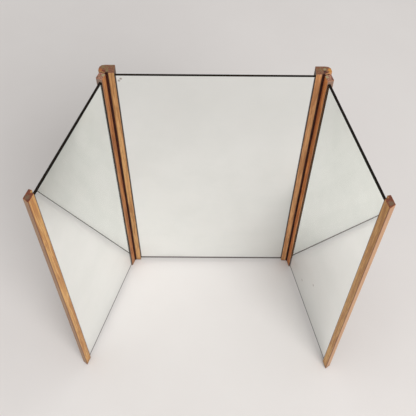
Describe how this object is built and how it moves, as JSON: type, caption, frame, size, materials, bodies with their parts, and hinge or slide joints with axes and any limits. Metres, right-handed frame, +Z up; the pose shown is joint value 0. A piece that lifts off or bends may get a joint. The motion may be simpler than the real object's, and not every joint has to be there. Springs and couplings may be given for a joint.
{
  "type": "three panel floor mirror",
  "caption": "Small folding floor mirror: a centre glass between two wooden posts and two glass wings with wooden edge rails on full-length hinges.",
  "frame": {"origin": "on the floor, in the middle of the bounding box of the footprint with the wings as pictured", "axes": "+Z up along the uprights, +X to the right along the centre panel as seen from the front, +Y from the mirrored side to the back of the centre panel"},
  "size_m": [0.6386, 0.3466, 0.7233],
  "materials": {
    "teak": "oiled teak, worn, darker end grain",
    "mirror_glass": "silvered float glass, slightly aged, dark ground edges",
    "backing_board": "dark hardboard",
    "batten_wood": "plain planed wood",
    "hinge_metal": "dark red-brown patina",
    "screw_steel": "dull steel",
    "felt": "dark felt"
  },
  "bodies": {
    "centre_panel": {"centre_glass": "mirror_glass", "centre_board": "backing_board", "centre_lower_batten": "batten_wood", "centre_lower_batten_screw_left": "screw_steel", "centre_lower_batten_screw_right": "screw_steel", "centre_upper_batten": "batten_wood", "centre_upper_batten_screw_left": "screw_steel", "centre_upper_batten_screw_right": "screw_steel", "left_post": "teak", "left_post_pad": "felt", "left_post_leaf": "hinge_metal", "left_post_leaf_screw_1": "hinge_metal", "left_post_leaf_screw_2": "hinge_metal", "left_post_leaf_screw_3": "hinge_metal", "left_post_leaf_screw_4": "hinge_metal", "left_hinge_pin": "hinge_metal", "right_post": "teak", "right_post_pad": "felt", "right_post_leaf": "hinge_metal", "right_post_leaf_screw_1": "hinge_metal", "right_post_leaf_screw_2": "hinge_metal", "right_post_leaf_screw_3": "hinge_metal", "right_post_leaf_screw_4": "hinge_metal", "right_hinge_pin": "hinge_metal"},
    "left_wing": {"left_hinge_rail": "teak", "left_hinge_rail_pad": "felt", "left_free_rail": "teak", "left_free_rail_pad": "felt", "left_glass": "mirror_glass", "left_board": "backing_board", "left_lower_batten": "batten_wood", "left_lower_batten_screw_inner": "screw_steel", "left_lower_batten_screw_outer": "screw_steel", "left_upper_batten": "batten_wood", "left_upper_batten_screw_inner": "screw_steel", "left_upper_batten_screw_outer": "screw_steel", "left_wing_leaf": "hinge_metal", "left_wing_leaf_screw_1": "hinge_metal", "left_wing_leaf_screw_2": "hinge_metal", "left_wing_leaf_screw_3": "hinge_metal", "left_wing_leaf_screw_4": "hinge_metal"},
    "right_wing": {"right_hinge_rail": "teak", "right_hinge_rail_pad": "felt", "right_free_rail": "teak", "right_free_rail_pad": "felt", "right_glass": "mirror_glass", "right_board": "backing_board", "right_lower_batten": "batten_wood", "right_lower_batten_screw_inner": "screw_steel", "right_lower_batten_screw_outer": "screw_steel", "right_upper_batten": "batten_wood", "right_upper_batten_screw_inner": "screw_steel", "right_upper_batten_screw_outer": "screw_steel", "right_wing_leaf": "hinge_metal", "right_wing_leaf_screw_1": "hinge_metal", "right_wing_leaf_screw_2": "hinge_metal", "right_wing_leaf_screw_3": "hinge_metal", "right_wing_leaf_screw_4": "hinge_metal"}
  },
  "joints": [
    {"name": "left_wing_hinge", "type": "hinge", "parent": "centre_panel", "child": "left_wing", "pos_m": [-0.20374, 0.14885, 0], "axis": [0, 0, 1], "range_deg": [-1.8, 108.2]},
    {"name": "right_wing_hinge", "type": "hinge", "parent": "centre_panel", "child": "right_wing", "pos_m": [0.22696, 0.14885, 0], "axis": [0, 0, -1], "range_deg": [-6.1, 94.9]}
  ]
}
